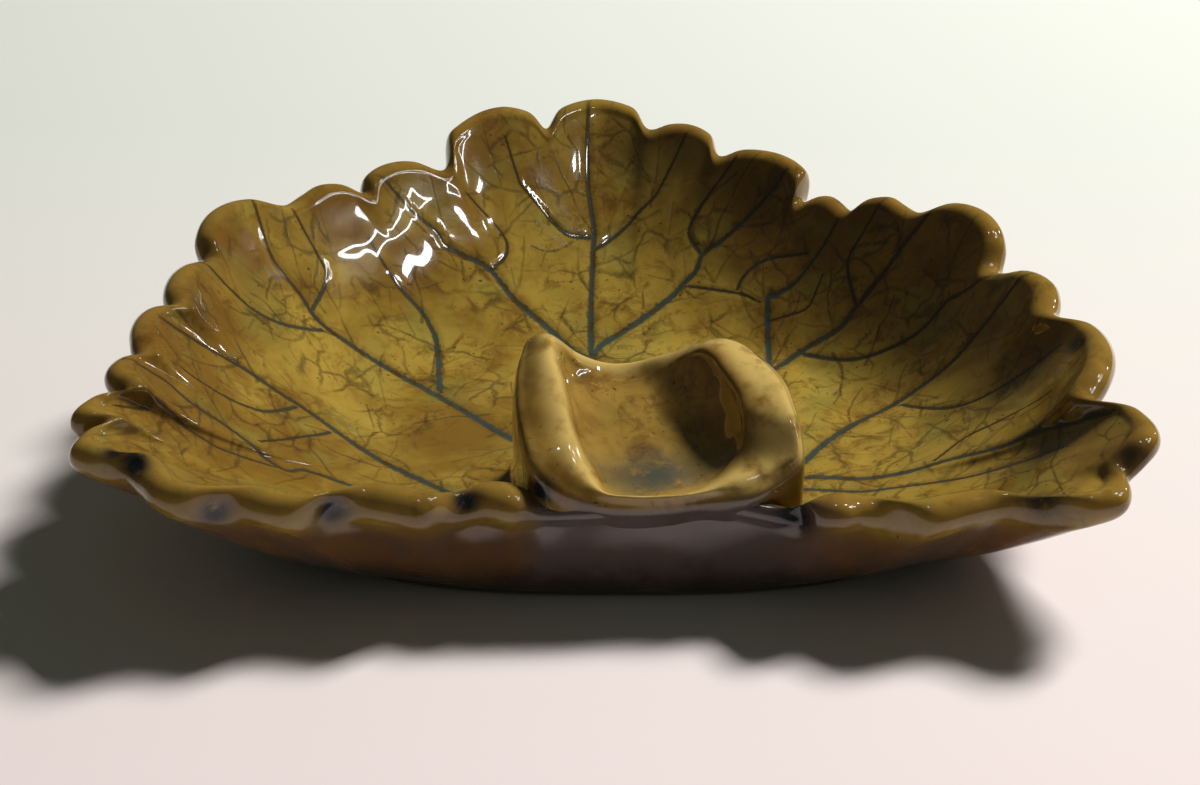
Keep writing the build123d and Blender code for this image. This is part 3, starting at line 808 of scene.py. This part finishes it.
# painted highlight: this pale mark lightens the broad lit top of the right ridge and the bright crest of the left one,
# besides the thinner glaze on the edges
paleEdgeAndLitTop = easeBetween(4.2 - rightRidge, 5.0 - rightRidge, at) * (1 - easeBetween(5.3, 6.2, at))
writeMark(mesh, "edge", paleEdgeAndLitTop)
start, full, last, end = saddle["apron"]
front = easeBetween(start, full, way) * (1 - easeBetween(last, end, way))
writeMark(mesh, "bay", front)
writeMark(mesh, "wall", front * (1 - easeBetween(3.1, 3.9, at)))
aside = (spots[:, 0] - saddle["poolRight"]) / saddle["poolWide"]
behind = (spots[:, 1] + saddle["poolFront"]) / saddle["poolDeep"]
wet = np.exp(-aside ** 2 - behind ** 2) * easeBetween(6.5, 7.5, at)
writeMark(mesh, "pool", wet * saddle["poolShade"])
writeMark(mesh, "notch", pitMark(spots))
print("saddle rest", len(mesh.polygons), "faces")

# the table, the camera and the lamps
table = {
    "half": 1.5, "rough": 0.45,
    "front": tone(238, 223, 221), "back": tone(217, 218, 210),      # painted light: warmer and a little brighter in front, cooler and darker behind
    "frontEnd": -0.07, "backEnd": 0.09,
}
floorMesh = bpy.data.meshes.new("floor")
flat = bmesh.new()
bmesh.ops.create_grid(flat, x_segments=1, y_segments=1, size=table["half"])
flat.to_mesh(floorMesh)
flat.free()
floor = bpy.data.objects.new("floor", floorMesh)
scene.collection.objects.link(floor)
floorMaterial = bpy.data.materials.new("tableTop")
floorMaterial.use_nodes = True
nodes, links = floorMaterial.node_tree.nodes, floorMaterial.node_tree.links
paint = nodes["Principled BSDF"]
paint.inputs["Roughness"].default_value = table["rough"]
place = nodes.new("ShaderNodeSeparateXYZ")
links.new(nodes.new("ShaderNodeTexCoord").outputs["Object"], place.inputs[0])
distance = nodes.new("ShaderNodeMapRange")
distance.inputs["From Min"].default_value = table["frontEnd"]
distance.inputs["From Max"].default_value = table["backEnd"]
links.new(place.outputs["Y"], distance.inputs["Value"])
# painted light: the table's colour shifts from front to back
paintedFloorLight = nodes.new("ShaderNodeMix")
paintedFloorLight.data_type = "RGBA"
paintedFloorLight.inputs[6].default_value = table["front"]
paintedFloorLight.inputs[7].default_value = table["back"]
links.new(distance.outputs["Result"], paintedFloorLight.inputs[0])
links.new(paintedFloorLight.outputs[2], paint.inputs["Base Color"])
floorMesh.materials.append(floorMaterial)


def pointAt(thing, target):
    thing.rotation_euler = (Vector(target) - thing.location).to_track_quat("-Z", "Y").to_euler()


eye = {"target": (-2.0, -6.0, 12.0), "elevation": 30.0, "distance": 320.0, "lens": 81.0}
target = Vector(eye["target"]) + home
lift = math.radians(eye["elevation"])
camera = bpy.data.objects.new("camera", bpy.data.cameras.new("camera"))
scene.collection.objects.link(camera)
camera.location = (target + Vector((0, -math.cos(lift), math.sin(lift))) * eye["distance"]) * mm
pointAt(camera, target * mm)
camera.data.lens = eye["lens"]
camera.data.sensor_width = 36
camera.data.clip_start = 0.01
scene.camera = camera


def lamp(name, place, aim, width, height, power, colour):
    # an oblong of light at a place in metres, looking at the aim
    data = bpy.data.lights.new(name, "AREA")
    data.shape = "RECTANGLE"
    data.size = width
    data.size_y = height
    data.energy = power
    data.color = colour
    thing = bpy.data.objects.new(name, data)
    scene.collection.objects.link(thing)
    thing.location = place
    pointAt(thing, aim)
    return thing


def awayFrom(turn, rise, distance):
    # turn counts from the right side towards the back
    a, e = math.radians(turn), math.radians(rise)
    return Vector((math.cos(a) * math.cos(e), math.sin(a) * math.cos(e), math.sin(e))) * distance


# where each lamp stands: turn and rise in degrees, distance, sizes and bar in metres, then how bright it is
lamps = {
    "middle": Vector((0, 0, 0.01)),
    "key": (40, 48, 0.95, 0.20, 13.6, (1.0, 1.0, 0.985)),
    "small": {"splash": (-5, 58, 1.0, 0.09, 0.05, 32.0), "spark": (26, 23, 1.0, 0.05, 0.05, 34.0),
              "glint": (-62, 76, 1.0, 0.05, 0.05, 34.0)},
    "window": (-7, 44, 1.0, 0.26, 0.11, 0.014, 36.0),
    "room": (0.85, 1.0, 0.8, 1), "roomStrength": 0.06,
}
turn, rise, distance, side, power, colour = lamps["key"]
keyLamp = lamp("keyLamp", awayFrom(turn, rise, distance), lamps["middle"], side, side, power, colour)
keyLamp.visible_glossy = False          # the window and the small lamps below are what the glaze mirrors


def mirroredLamp(name, place, aim, width, height, glow):
    # shows in the glaze only, and lights nothing
    shine = lamp(name, place, aim, width, height, glow * math.pi * width * height, (1, 1, 1))
    shine.visible_diffuse = False
    shine.visible_shadow = False


for name, (turn, rise, distance, wide, high, glow) in lamps["small"].items():
    mirroredLamp(name + "Lamp", awayFrom(turn, rise, distance), lamps["middle"], wide, high, glow)

# the window is a bright frame of four strips
turn, rise, distance, wide, high, bar, glow = lamps["window"]
windowMiddle = awayFrom(turn, rise, distance)
facing = (windowMiddle - lamps["middle"]).normalized()
sideways = Vector((0, 0, 1)).cross(facing).normalized()
upwards = facing.cross(sideways)
for name, shift, size in (
        ("windowTop", upwards * high / 2, (wide, bar)), ("windowBottom", upwards * -high / 2, (wide, bar)),
        ("windowLeft", sideways * -wide / 2, (bar, high)), ("windowRight", sideways * wide / 2, (bar, high))):
    place = windowMiddle + shift
    mirroredLamp(name, place, place - facing, *size, glow)

world = bpy.data.worlds.new("room")
scene.world = world
world.use_nodes = True
world.node_tree.nodes["Background"].inputs["Color"].default_value = lamps["room"]
world.node_tree.nodes["Background"].inputs["Strength"].default_value = lamps["roomStrength"]
scene.view_settings.view_transform = "Standard"
